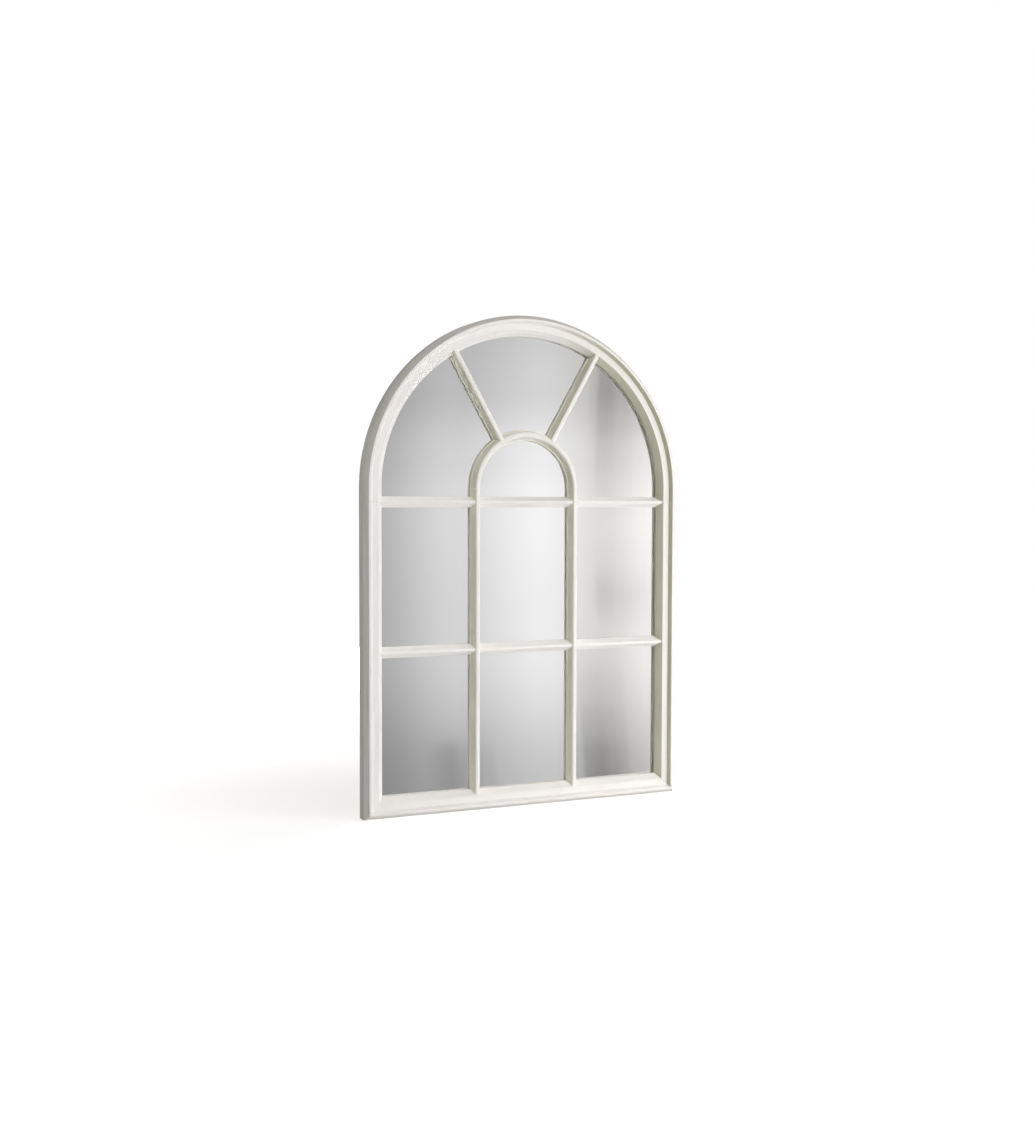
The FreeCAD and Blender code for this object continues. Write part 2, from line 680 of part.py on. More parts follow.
glass_inset = "(Dims.face_width - Dims.glass_cover + Dims.glass_clearance)"
nodes["mirror_glass"] = arched_sheet(
    "mirror_glass", glass_inset, "Dims.backing_thickness", "Dims.glass_thickness"
)
board = arched_sheet("backing_blank", BOARD_INSET, None, "Dims.backing_thickness")
nodes["backing_board"] = cut("backing_board", board, backing_holes)
nodes["backing_screws"] = group("backing_screws", backing_screws)
nodes["corner_dowels"] = group("corner_dowels", corner_dowels)
nodes["head_dowels"] = group("head_dowels", head_dowels)
nodes["crown_dowels"] = group("crown_dowels", crown_dowels)

# Hanging hardware on the backs of the stiles

bumpers = []
for side, word in ((LEFT, "left"), (RIGHT, "right")):
    strap = f"hanger_strap_{word}"
    nodes[strap] = cut(strap, make_strap(side, word), strap_holes[word])
    nodes[f"hanger_ring_{word}"] = make_ring(side, word)
    pad_place = (hanger_x(side), "Dims.bumper_thickness", "Dims.bumper_height")
    bumpers.append(
        cylinder(f"bumper_{word}", "Dims.bumper_radius", "Dims.bumper_thickness", *pad_place, axis="Y")
    )
nodes["hanger_screws"] = group("hanger_screws", strap_screws)
nodes["wall_bumpers"] = group("wall_bumpers", bumpers)

# Every feature has to be sound before anything is written

document.recompute()
failed = [thing.Name for thing in document.Objects if {"Invalid", "Error"} & set(thing.State)]
if failed:
    raise RuntimeError(f"features that failed: {failed}")
os.makedirs("parts", exist_ok=True)
for name, thing in nodes.items():
    thing.Label = name
    if thing.Shape.isNull() or not thing.Shape.isValid() or not thing.Shape.Solids:
        raise RuntimeError(f"{name} has no sound solid")
for name, thing in nodes.items():
    thing.Shape.exportStep(f"parts/{name}.step")
    box = thing.Shape.optimalBoundingBox()
    extent = f"{box.XLength:.1f} x {box.YLength:.1f} x {box.ZLength:.1f} mm"
    print(f"{name}: {len(thing.Shape.Solids)} solid(s), {thing.Shape.Volume:.0f} mm3, {extent}")
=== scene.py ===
# %% [markdown]
# # An arched window mirror, dressed for its photograph
#
# The imported model gives every wooden member, the glass and the hanging hardware at its real size, in metres.
# X runs to the right, Y towards the wall and Z up. This lesson adds the looks: a soft studio, brushed paint,
# real silvered glass and the plain back. Nothing of the imported model is moved.

# %% Load the frame
import math
import bmesh
import bpy
from mathutils import Matrix, Vector


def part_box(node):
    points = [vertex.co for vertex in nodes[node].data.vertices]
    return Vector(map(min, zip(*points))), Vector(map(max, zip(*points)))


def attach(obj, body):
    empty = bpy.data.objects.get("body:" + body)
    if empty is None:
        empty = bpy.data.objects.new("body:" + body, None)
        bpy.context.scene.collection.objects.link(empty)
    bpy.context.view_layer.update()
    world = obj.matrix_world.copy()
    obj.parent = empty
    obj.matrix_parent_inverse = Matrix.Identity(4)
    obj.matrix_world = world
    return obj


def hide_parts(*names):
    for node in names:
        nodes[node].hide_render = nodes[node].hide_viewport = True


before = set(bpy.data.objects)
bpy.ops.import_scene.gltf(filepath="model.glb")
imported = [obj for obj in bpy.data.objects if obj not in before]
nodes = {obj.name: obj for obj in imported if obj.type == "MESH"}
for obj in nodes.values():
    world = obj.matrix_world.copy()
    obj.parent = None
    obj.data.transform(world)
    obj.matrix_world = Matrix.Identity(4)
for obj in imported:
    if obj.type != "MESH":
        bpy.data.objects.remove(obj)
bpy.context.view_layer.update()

scene = bpy.context.scene

# %% [markdown]
# ## Camera
#
# The photograph was taken from the mirror's left, with the eye a little above its middle. Lines that are
# level on the real frame all run to the same vanishing points, which fixes the angle, the distance and the
# lens. The long side of the picture, 1140 of 1035 x 1140, is matched to a 36 mm sensor.

# %% Set up the camera
IMAGE_HEIGHT = 1140
SENSOR = 36.0
FOCAL_PIXELS = 1447.0
EYE = Vector((-1.254, -2.696, 0.630))
LOOK_AT = Vector((-0.0088, 0.0, 0.4836))
ROLL = math.radians(0.14)


def add_object(name, data):
    """A new object in the scene."""
    made = bpy.data.objects.new(name, data)
    scene.collection.objects.link(made)
    return made


camera_data = bpy.data.cameras.new("camera")
camera_data.sensor_fit = "VERTICAL"
camera_data.sensor_height = SENSOR
camera_data.lens = FOCAL_PIXELS / IMAGE_HEIGHT * SENSOR
camera = add_object("camera", camera_data)
look = (LOOK_AT - EYE).to_track_quat("-Z", "Y").to_matrix()
camera.matrix_world = Matrix.Translation(EYE) @ (look @ Matrix.Rotation(ROLL, 3, "Z")).to_4x4()
scene.camera = camera
scene.view_settings.view_transform = "Standard"
print("lens:", round(camera_data.lens, 2), "mm")

# %% [markdown]
# ## Room in the mirror
#
# A mirror shows whatever stands opposite it, so the room matters as much as the lamps. Furniture could be built
# behind the camera, but all that reaches the glass of it is soft changes of tone. So the room is a set of ramps
# over the direction of a ray: one from left to right, one from low to high, and three blurred dark shapes. What
# lies behind the mirror has a tone of its own, for the steel on the back. Only what shines sees all this: the
# glass, the steel and the sheen of the paint. The camera itself sees a white background.

# %% Directions in the world
def new_node(tree, kind, **settings):
    """Add a shader node; settings name its properties, or its input sockets by their labels."""
    node = tree.nodes.new(kind)
    for name, value in settings.items():
        if hasattr(node, name):
            setattr(node, name, value)
        else:
            node.inputs[name.replace("_", " ")].default_value = value
    return node


def join(tree, source, target):
    tree.links.new(source, target)


def axes_of(tree, vector):
    """The X, Y and Z outputs of a vector."""
    node = new_node(tree, "ShaderNodeSeparateXYZ")
    join(tree, vector, node.inputs["Vector"])
    return node.outputs


world = bpy.data.worlds.new("studio")
scene.world = world
world.use_nodes = True
world_tree = world.node_tree
world_tree.nodes.clear()
directions = axes_of(world_tree, new_node(world_tree, "ShaderNodeTexCoord").outputs["Generated"])
print("axes of a ray's direction:", [axis.name for axis in directions])

# %% Tones from left to right and from low to high
ALL_ROUND = (-1.0, 1.0)


def spread(tree, value, low, high):
    """A value mapped to 0..1 between two bounds."""
    node = new_node(tree, "ShaderNodeMapRange")
    node.inputs["From Min"].default_value = low
    node.inputs["From Max"].default_value = high
    join(tree, value, node.inputs["Value"])
    return node.outputs["Result"]


def ramp_node(tree, factor, stops, interpolation="EASE"):
    """A ramp through (position, tone) stops, where a bare number is a grey; returns its colour."""
    node = new_node(tree, "ShaderNodeValToRGB")
    node.color_ramp.interpolation = interpolation
    elements = node.color_ramp.elements
    while len(elements) < len(stops):
        elements.new(1.0)
    for element, (position, tone) in zip(elements, stops):
        element.position = position
        element.color = (*tone, 1.0) if isinstance(tone, tuple) else (tone, tone, tone, 1.0)
    join(tree, factor, node.inputs["Fac"])
    return node.outputs["Color"]


def tones_over(axis, bounds, stops, interpolation="EASE"):
    """Tones of the world along one axis of a ray's direction, between two bounds."""
    return ramp_node(world_tree, spread(world_tree, directions[axis], *bounds), stops, interpolation)


across_room = tones_over("X", ALL_ROUND, [
    (0.0, 0.62), (0.35, 0.72), (0.60, 0.80), (0.66, 0.41), (0.69, 0.67), (0.717, 0.87),
    (0.736, (0.73, 0.715, 0.69)), (0.751, (0.92, 0.91, 0.89)), (1.0, (0.96, 0.95, 0.94)),
])
up_room = tones_over("Z", ALL_ROUND, [
    (0.0, 0.8), (0.34, 0.85), (0.40, 0.60), (0.45, 0.93), (0.50, 1.0), (0.515, 0.92), (0.537, 0.72),
    (0.56, 0.66), (0.65, 0.85), (1.0, 0.9),
])
print("nodes for two ramps:", len(world_tree.nodes))

# %% Tones of the room
def feed(tree, value, socket):
    """Give a socket its value: a colour, a number or the output of another node."""
    if isinstance(value, tuple):
        socket.default_value = (*value, 1.0)
    elif isinstance(value, (int, float)):
        socket.default_value = value
    else:
        join(tree, value, socket)


# A Mix node has sockets for every kind of data. These are the places of its factor, its two colours and its
# blended colour.
COLOUR_INPUTS = (0, 6, 7)
COLOUR_OUTPUT = 2


def blend_colours(tree, factor, first, second, how="MIX"):
    """A colour that goes from first to second with the factor."""
    node = new_node(tree, "ShaderNodeMix", data_type="RGBA", blend_type=how)
    for index, value in zip(COLOUR_INPUTS, (factor, first, second)):
        feed(tree, value, node.inputs[index])
    return node.outputs[COLOUR_OUTPUT]


def product(tree, colour, *others):
    """Colours multiplied with one another."""
    for other in others:
        colour = blend_colours(tree, 1.0, colour, other, "MULTIPLY")
    return colour


room = product(world_tree, across_room, up_room)
print("nodes for the tones of the room:", len(world_tree.nodes))

# %% Dark shapes in the room
FAN_SHADE = {
    "across": (0.4535, 0.5335),
    "profile": [
        (0.0, 0.0), (0.08, 0.06), (0.14, 0.35), (0.2, 0.95), (0.25, 1.0), (0.34, 0.75), (0.69, 0.2), (1.0, 0.0),
    ],
    "up": (-0.1, 0.12),
    "heights": [
        (0.0, 0.0), (0.16, 0.19), (0.27, 0.07), (0.37, 0.03), (0.51, 0.12), (0.6, 0.18), (0.69, 0.29),
        (0.79, 0.37), (1.0, 0.25),
    ],
}
LOW_RIGHT_SHADE = {
    "across": (0.442, 0.502),
    "profile": [
        (0.0, 0.0), (0.15, 0.38), (0.24, 0.9), (0.37, 1.0), (0.5, 0.75), (0.6, 0.5), (0.7, 0.2), (1.0, 0.0),
    ],
    "up": (-0.2, 0.0),
    "heights": [(0.0, 0.5), (0.12, 0.41), (0.22, 0.27), (0.35, 0.16), (0.48, 0.05), (0.6, 0.0)],
}
LOW_LEFT_SHADE = {
    "across": (0.33, 0.43),
    "profile": [(0.0, 0.0), (0.2, 0.1), (0.42, 1.0), (0.5, 0.7), (0.57, 0.4), (0.65, 0.3), (0.72, 0.0)],
    "up": (-0.24, -0.10),
    "heights": [(0.0, 0.30), (0.40, 0.28), (0.46, 0.25), (0.58, 0.03), (0.65, 0.0)],
}


def cast_shade(lit, across, profile, up, heights):
    """Darken the room by a blurred shape: its profile from left to right, and its strength at each height."""
    shade = product(world_tree, tones_over("X", across, profile), tones_over("Z", up, heights))
    lighter = new_node(world_tree, "ShaderNodeInvert")
    join(world_tree, shade, lighter.inputs["Color"])
    return product(world_tree, lit, lighter.outputs["Color"])


for shade in (FAN_SHADE, LOW_RIGHT_SHADE, LOW_LEFT_SHADE):
    room = cast_shade(room, **shade)
print("nodes with the dark shapes:", len(world_tree.nodes))

# %% Room in front of the mirror and behind it
ROOM_STRENGTH = 1.12


def background(colour, strength=1.0):
    """Light from the world in a colour; returns its shader."""
    node = new_node(world_tree, "ShaderNodeBackground", Strength=strength)
    feed(world_tree, colour, node.inputs["Color"])
    return node.outputs[0]


behind_room = tones_over("Z", ALL_ROUND, [
    (0.0, 0.45), (0.40, 0.25), (0.47, 0.45), (0.56, 0.95), (0.75, 0.55), (1.0, 0.9),
])
in_front = spread(world_tree, directions["Y"], 0.15, 0.0)
reflected = background(blend_colours(world_tree, in_front, behind_room, room), ROOM_STRENGTH)
print("strength of the room:", ROOM_STRENGTH)

# %% [markdown]
# ## Light without lamps
#
# The paint is lit from all round as well: pale from the front right, a weak warm grey from the left, little from
# behind and above. A second light is for paint that is lit by way of the mirror. The glass throws it on to the
# slopes that face inwards, and those that look left get the least. The steel on the back throws little. A row of
# large lamps would do the same, but every one would show in the glass. Light that depends on the kind of ray
# stays out of it.

# %% Light that fills the room
FILL_STRENGTH = 1.95
across_fill = tones_over("X", ALL_ROUND, [
    (0.0, (0.41, 0.40, 0.335)),
    (0.3, (0.64, 0.63, 0.55)),
    (0.42, (0.66, 0.652, 0.60)),
    (0.52, (0.95, 0.945, 0.935)),
    (0.65, (1.03, 1.025, 1.02)),
    (0.85, (0.58, 0.575, 0.57)),
    (1.0, (0.30, 0.297, 0.294)),
], "LINEAR")
behind_fill = tones_over("Y", (-0.6, 0.3), [(0.0, 1.0), (1.0, 0.25)])
above_fill = tones_over("Z", (-0.2, 1.0), [(0.0, 1.0), (0.25, 0.95), (0.5, 0.55), (1.0, 0.12)])
filling = background(product(world_tree, across_fill, behind_fill, above_fill), FILL_STRENGTH)
print("strength of the fill:", FILL_STRENGTH)

# %% Light that the mirror throws back
BOUNCE_STRENGTH = 2.6
across_bounce = tones_over("X", ALL_ROUND, [
    (0.0, (0.04, 0.039, 0.03)),
    (0.42, (0.07, 0.069, 0.056)),
    (0.55, (1.75, 1.745, 1.72)),
    (0.65, (1.2, 1.195, 1.18)),
    (0.78, 0.33),
    (1.0, 0.12),
])
up_bounce = tones_over("Z", ALL_ROUND, [(0.0, 5.2), (0.5, 1.45), (1.0, 8.5)])
front_bounce = tones_over("Y", (-0.05, 0.1), [(0.0, 1.0), (1.0, 0.1)])
thrown_back = background(product(world_tree, across_bounce, up_bounce, front_bounce), BOUNCE_STRENGTH)
print("strength of the light thrown back:", BOUNCE_STRENGTH)

# %% Light for each kind of ray
WHITE = (1.0, 1.0, 1.0)
HALF_A_BOUNCE = 0.5


def math_node(tree, operation, *values):
    """A Math node whose inputs are numbers or sockets; returns its output socket."""
    node = new_node(tree, "ShaderNodeMath", operation=operation)
    for socket, value in zip(node.inputs, values):
        feed(tree, value, socket)
    return node.outputs[0]


def mix_shaders(tree, factor, first, second):
    """A shader that goes from first to second with the factor."""
    node = new_node(tree, "ShaderNodeMixShader")
    for socket, value in zip(node.inputs, (factor, first, second)):
        join(tree, value, socket)
    return node.outputs[0]


def seen_in_shine(tree, rays):
    """1 for rays that come from something shiny or through the glass."""
    return math_node(tree, "MAXIMUM", rays.outputs["Is Glossy Ray"], rays.outputs["Is Transmission Ray"])


rays = new_node(world_tree, "ShaderNodeLightPath")
after_paint = math_node(world_tree, "GREATER_THAN", rays.outputs["Diffuse Depth"], HALF_A_BOUNCE)
in_shine = mix_shaders(world_tree, after_paint, reflected, thrown_back)
indirect = mix_shaders(world_tree, seen_in_shine(world_tree, rays), filling, in_shine)
surroundings = mix_shaders(world_tree, rays.outputs["Is Camera Ray"], indirect, background(WHITE))
world_output = new_node(world_tree, "ShaderNodeOutputWorld")
join(world_tree, surroundings, world_output.inputs["Surface"])
print("world nodes:", len(world_tree.nodes))

# %% [markdown]
# ## Soft lamps
#
# Three large round lamps give the light its direction. The first stands far off on the right, a little above
# the middle. A low one nearer the front sweeps up over the rail and the feet of the stiles. The third lights
# the back. Bare bulbs would draw hard shadows of the bars, which the photograph doesn't have.

# %% Three soft lamps
def soft_lamp(name, place, aim, size, watts, colour):
    """A round soft lamp that is never seen itself, neither straight nor in the mirror."""
    lamp = bpy.data.lights.new(name, "AREA")
    lamp.shape = "DISK"
    lamp.size = size
    lamp.energy = watts
    lamp.color = colour
    lamp_object = add_object(name, lamp)
    lamp_object.location = place
    lamp_object.rotation_euler = (Vector(aim) - Vector(place)).to_track_quat("-Z", "Y").to_euler()
    lamp_object.visible_camera = False
    lamp_object.visible_glossy = False
    lamp_object.visible_transmission = False
    return lamp_object


KEY_TURN = math.radians(50)
KEY_LIFT = math.radians(8)
KEY_DISTANCE = 4.0
MIDDLE = Vector((0.0, 0.0, 0.5))
key_way = Vector((
    math.sin(KEY_TURN) * math.cos(KEY_LIFT), -math.cos(KEY_TURN) * math.cos(KEY_LIFT), math.sin(KEY_LIFT)
))
lamps = [
    soft_lamp(
        "key_lamp", place=MIDDLE + key_way * KEY_DISTANCE, aim=MIDDLE, size=2.5, watts=32.0,
        colour=(1.0, 0.985, 0.97),
    ),
    soft_lamp(
        "sweep_lamp", place=(0.9, -1.15, 0.05), aim=(0.0, 0.0, 0.45), size=1.0, watts=17.0,
        colour=(1.0, 0.99, 0.985),
    ),
    soft_lamp(
        "back_lamp", place=(0.7, 3.0, 0.9), aim=MIDDLE, size=2.0, watts=50.0, colour=(1.0, 0.99, 0.98)
    ),
]
print("lamps at", [[round(v, 2) for v in lamp.location] for lamp in lamps])

# %% [markdown]
# ## Floor
#
# The mirror stands on a plain pale sheet. A matt floor alone turns grey where the light falls off, so it gives
# a little light of its own to the camera, up to white. Close to the mirror, where the lamps reach, it gives
# less, so that the shadow under the rail is kept. The glass sees past the floor into the room.

# %% Pale floor
FLOOR_REACH = 6.0
FLOOR_DROP = 0.0005
floor_mesh = bpy.data.meshes.new("floor")
floor_corners = [(-1, -1), (1, -1), (1, 1), (-1, 1)]
floor_points = [(x * FLOOR_REACH, y * FLOOR_REACH, -FLOOR_DROP) for x, y in floor_corners]
floor_mesh.from_pydata(floor_points, [], [(0, 1, 2, 3)])
floor = add_object("floor", floor_mesh)
print("floor:", FLOOR_REACH * 2, "m square")

# %% Paint of the floor
FLOOR_TONE = 0.85
NEAR_FLOOR = 0.35
FAR_FLOOR = 1.5
NEAR_GLOW = 0.58
FAR_GLOW = 0.85


def object_place(tree):
    """The place of a point in the frame of its object."""
    return new_node(tree, "ShaderNodeTexCoord").outputs["Object"]


floor_paint = bpy.data.materials.new("floor_paint")
floor_paint.use_nodes = True
tree = floor_paint.node_tree
tree.nodes.clear()
matt = new_node(tree, "ShaderNodeBsdfDiffuse", Color=(FLOOR_TONE, FLOOR_TONE, FLOOR_TONE, 1.0)).outputs[0]
from_mirror = new_node(tree, "ShaderNodeVectorMath", operation="LENGTH")
join(tree, object_place(tree), from_mirror.inputs[0])
far_off = spread(tree, from_mirror.outputs["Value"], NEAR_FLOOR, FAR_FLOOR)
glow = new_node(tree, "ShaderNodeEmission", Strength=1.0)
join(tree, ramp_node(tree, far_off, [(0.0, NEAR_GLOW), (1.0, FAR_GLOW)]), glow.inputs["Color"])
lit = new_node(tree, "ShaderNodeAddShader")
join(tree, matt, lit.inputs[0])
join(tree, glow.outputs[0], lit.inputs[1])
clear = new_node(tree, "ShaderNodeBsdfTransparent").outputs[0]
rays = new_node(tree, "ShaderNodeLightPath")
lit_for_camera = mix_shaders(tree, rays.outputs["Is Camera Ray"], matt, lit.outputs[0])
laid = mix_shaders(tree, seen_in_shine(tree, rays), lit_for_camera, clear)
floor_output = new_node(tree, "ShaderNodeOutputMaterial")
join(tree, laid, floor_output.inputs["Surface"])
floor_mesh.materials.append(floor_paint)
print("floor glows from", NEAR_GLOW, "to", FAR_GLOW)

# %% [markdown]
# ## Mirror glass
#
# A mirror is a clear sheet with a silver coat on its back. The light passes the glass twice, so a bar that
# lies on the front face stands a little off its own reflection, and the dark gap between the two is the thin
# line along every bar. A sheet that is silvered on its front face would lose that line. The new sheet has
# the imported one's outline and thickness, with ground edges, and the silver is the material of its back face.
# The edges are greener, as glass is when it is seen edge on, and the silver has very faint clouds.

# %% Outline of the glass
ARC_STEPS = 96
glass_low, glass_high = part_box("mirror_glass")
half_width = glass_high.x
spring_height = glass_high.z - half_width


def arched_outline(inset):
    """Points round the sheet, from its lower left corner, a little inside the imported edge."""
    half = half_width - inset
    foot = glass_low.z + inset
    points = [(-half, foot), (half, foot)]
    for step in range(ARC_STEPS + 1):
        turn = math.pi * step / ARC_STEPS
        points.append((half * math.cos(turn), spring_height + half * math.sin(turn)))
    return points


print("points round the glass:", len(arched_outline(0.0)))

# %% Sheet with ground edges
GROUND_EDGE = 0.0006
FRONT_GAP = 0.00003
BACKING_PAINT = 0.0001


def join_rings(shape, rings):
    """Four-sided faces between each ring of points and the next."""
    count = len(rings[0])
    for near, far in zip(rings, rings[1:]):
        for i in range(count):
            j = (i + 1) % count
            shape.faces.new((near[i], near[j], far[j], far[i]))


def object_from(shape, name):
    """Turn the faces of a shape outwards and put it into the scene."""
    bmesh.ops.recalc_face_normals(shape, faces=shape.faces)
    mesh = bpy.data.meshes.new(name)
    shape.to_mesh(mesh)
    shape.free()
    return add_object(name, mesh)


def make_sheet(name):
    """The sheet from front to back, with the second material on its back face."""
    front = glass_low.y + FRONT_GAP
    back = glass_high.y - BACKING_PAINT
    levels = [(front, GROUND_EDGE), (front + GROUND_EDGE, 0.0), (back - GROUND_EDGE, 0.0), (back, GROUND_EDGE)]
    shape = bmesh.new()
    rings = [[shape.verts.new((x, y, z)) for x, z in arched_outline(inset)] for y, inset in levels]
    shape.faces.new(list(reversed(rings[0])))
    silvered_face = shape.faces.new(rings[-1])
    silvered_face.material_index = 1
    join_rings(shape, rings)
    return object_from(shape, name)


mirror_sheet = make_sheet("silvered_mirror_sheet")
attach(mirror_sheet, "mirror")
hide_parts("mirror_glass")
print("mirror sheet faces:", len(mirror_sheet.data.polygons))

# %% Glass and silver
CLEAR = (0.985, 0.99, 0.985)
EDGE_GREEN = (0.80, 0.90, 0.85)
SILVER = (0.952, 0.947, 0.955)
SILVER_CLOUD = (0.946, 0.941, 0.949)


def principled(name):
    """A new material with its shader tree and its Principled BSDF."""
    material = bpy.data.materials.new(name)
    material.use_nodes = True
    tree = material.node_tree
    return material, tree, tree.nodes["Principled BSDF"]


def true_normal(tree):
    """The direction in which a point of the surface faces."""
    return new_node(tree, "ShaderNodeNewGeometry").outputs["Normal"]


def texture_on(tree, kind, **settings):
    """A texture that is laid out in the frame of its object."""
    texture = new_node(tree, kind, **settings)
    join(tree, object_place(tree), texture.inputs["Vector"])
    return texture


clear_glass, tree, shader = principled("clear_glass")
on_edge = spread(tree, math_node(tree, "ABSOLUTE", axes_of(tree, true_normal(tree))["Y"]), 0.95, 0.5)
join(tree, blend_colours(tree, on_edge, CLEAR, EDGE_GREEN), shader.inputs["Base Color"])
shader.inputs["Roughness"].default_value = 0.0
shader.inputs["IOR"].default_value = 1.5
shader.inputs["Transmission Weight"].default_value = 1.0
silver, tree, shader = principled("silvering")
clouds = texture_on(tree, "ShaderNodeTexNoise", Scale=9.0, Detail=4.0)
clouded = spread(tree, clouds.outputs["Fac"], 0.35, 0.65)
join(tree, blend_colours(tree, clouded, SILVER, SILVER_CLOUD), shader.inputs["Base Color"])
shader.inputs["Metallic"].default_value = 1.0
shader.inputs["Roughness"].default_value = 0.0
for material in (clear_glass, silver):
    mirror_sheet.data.materials.append(material)
print("materials of the sheet:", [material.name for material in mirror_sheet.data.materials])

# %% [markdown]
# ## Brushed paint
#
# The frame is softwood under off-white paint, laid on with a brush along each member, so faint streaks run up
# the stiles, along the rail and round the arch. One picture of streaks could be wrapped round every piece, but
# it would cross the grain on some of them. Here a shared group turns the place of a point into a place along
# and across its own member, straight or turned about the arch's centre, and the streaks are noise that is
# stretched along it.

# %% A group that follows the grain
def new_group(name, inputs, outputs):
    """An empty shader group with named sockets; returns its tree, input node and output node."""
    tree = bpy.data.node_groups.new(name, "ShaderNodeTree")
    kinds = {"value": "NodeSocketFloat", "vector": "NodeSocketVector"}
    for direction, sockets in (("INPUT", inputs), ("OUTPUT", outputs)):
        for label, kind in sockets:
            tree.interface.new_socket(label, in_out=direction, socket_type=kinds[kind])
    return tree, tree.nodes.new("NodeGroupInput"), tree.nodes.new("NodeGroupOutput")


def times(tree, first, second):
    return math_node(tree, "MULTIPLY", first, second)


grain_group, given, made = new_group(
    "along_the_grain",
    [("Slant", "value"), ("Turned", "value"), ("Arch Centre", "value")],
    [("Grain", "vector")],
)
tree = grain_group
x_place, y_place, z_place = axes_of(tree, object_place(tree))
lean_x = math_node(tree, "SINE", given.outputs["Slant"])
lean_z = math_node(tree, "COSINE", given.outputs["Slant"])
straight_along = math_node(tree, "ADD", times(tree, x_place, lean_x), times(tree, z_place, lean_z))
straight_across = math_node(tree, "SUBTRACT", times(tree, x_place, lean_z), times(tree, z_place, lean_x))
print("group:", grain_group.name, "for straight members")

# %% Grain that turns with the arch
# These are the places of the factor and the two values of a Mix node.
VALUE_INPUTS = (0, 2, 3)


def blend_values(tree, factor, first, second):
    """A value that goes from first to second with the factor."""
    node = new_node(tree, "ShaderNodeMix", data_type="FLOAT")
    for index, value in zip(VALUE_INPUTS, (factor, first, second)):
        feed(tree, value, node.inputs[index])
    return node.outputs[0]


rise = math_node(tree, "SUBTRACT", z_place, given.outputs["Arch Centre"])
rise_in_arch = math_node(tree, "MAXIMUM", rise, 0.0)
radius_squared = math_node(
    tree, "ADD", times(tree, x_place, x_place), times(tree, rise_in_arch, rise_in_arch)
)
turned_across = math_node(tree, "SQRT", radius_squared)
turn_angle = math_node(tree, "ARCTAN2", rise_in_arch, math_node(tree, "ABSOLUTE", x_place))
turned_along = math_node(
    tree, "ADD", times(tree, turn_angle, turned_across), math_node(tree, "MINIMUM", rise, 0.0)
)
along = blend_values(tree, given.outputs["Turned"], straight_along, turned_along)
across = blend_values(tree, given.outputs["Turned"], straight_across, turned_across)
grain = new_node(tree, "ShaderNodeCombineXYZ")
for socket, value in zip(grain.inputs, (across, y_place, along)):
    join(tree, value, socket)
join(tree, grain.outputs[0], made.inputs["Grain"])
print("group:", grain_group.name, "for turned members too")

# %% A group of brush streaks
BAND_WIDTH = 0.22
BAND_LENGTH = 0.5
streak_group, given, made = new_group(
    "brush_streaks",
    [("Grain", "vector"), ("Across Scale", "value"), ("Along Scale", "value")],
    [("Streaks", "value"), ("Bands", "value")],
)


def stretched_noise(tree, vector, across_scale, along_scale, detail):
    """Noise that is drawn out along the third axis of a vector; returns its value."""
    stretch = new_node(tree, "ShaderNodeCombineXYZ")
    for socket, value in zip(stretch.inputs, (across_scale, across_scale, along_scale)):
        join(tree, value, socket)
    drawn_out = new_node(tree, "ShaderNodeVectorMath", operation="MULTIPLY")
    join(tree, vector, drawn_out.inputs[0])
    join(tree, stretch.outputs[0], drawn_out.inputs[1])
    noise = new_node(tree, "ShaderNodeTexNoise", Scale=1.0, Detail=detail, Roughness=0.6)
    join(tree, drawn_out.outputs[0], noise.inputs["Vector"])
    return noise.outputs["Fac"]


tree = streak_group
fine, long_drawn = given.outputs["Across Scale"], given.outputs["Along Scale"]
wide, slow = times(tree, fine, BAND_WIDTH), times(tree, long_drawn, BAND_LENGTH)
streaks = stretched_noise(tree, given.outputs["Grain"], fine, long_drawn, detail=4.0)
bands = stretched_noise(tree, given.outputs["Grain"], wide, slow, detail=2.0)
join(tree, spread(tree, streaks, 0.32, 0.68), made.inputs["Streaks"])
join(tree, spread(tree, bands, 0.32, 0.68), made.inputs["Bands"])
print("group:", streak_group.name)

# %% [markdown]
# ## Wash and rubbed edges
#
# The paint is darker in the corners and recesses, where shade falls: that is painted shade, in the greenish grey
# of a thin wash. The crests are paler, partly rubbed clean and partly a painted highlight. Both follow the shape
# itself. Ambient occlusion finds the corners, at a short reach within one piece and at a longer one between
# neighbours. The difference between the true normal and a rounded one finds the edges. As a group, they serve
# the frame, the bars and the steel alike.

# %% A group that finds corners and edges
wear_group, given, made = new_group(
    "corners_and_edges",
    [("Corner Reach", "value"), ("Recess Reach", "value"), ("Edge Radius", "value")],
    [("Corners", "value"), ("Recess", "value"), ("Edges", "value"), ("Soft Normal", "vector")],
)
tree = wear_group


def opposite(tree, value):
    """1 where a value is 0, and 0 where it is 1."""
    return math_node(tree, "SUBTRACT", 1.0, value)


close_by = new_node(tree, "ShaderNodeAmbientOcclusion", samples=8, only_local=True)
join(tree, given.outputs["Corner Reach"], close_by.inputs["Distance"])
corners = spread(tree, opposite(tree, close_by.outputs["AO"]), 0.12, 0.75)
further_off = new_node(tree, "ShaderNodeAmbientOcclusion", samples=8)
join(tree, given.outputs["Recess Reach"], further_off.inputs["Distance"])
recess = spread(tree, opposite(tree, further_off.outputs["AO"]), 0.06, 0.24)
rounded = new_node(tree, "ShaderNodeBevel", samples=6)
join(tree, given.outputs["Edge Radius"], rounded.inputs["Radius"])
agreement = new_node(tree, "ShaderNodeVectorMath", operation="DOT_PRODUCT")
join(tree, rounded.outputs["Normal"], agreement.inputs[0])
join(tree, true_normal(tree), agreement.inputs[1])
bent = spread(tree, opposite(tree, agreement.outputs["Value"]), 0.005, 0.12)
join(tree, corners, made.inputs["Corners"])
join(tree, recess, made.inputs["Recess"])
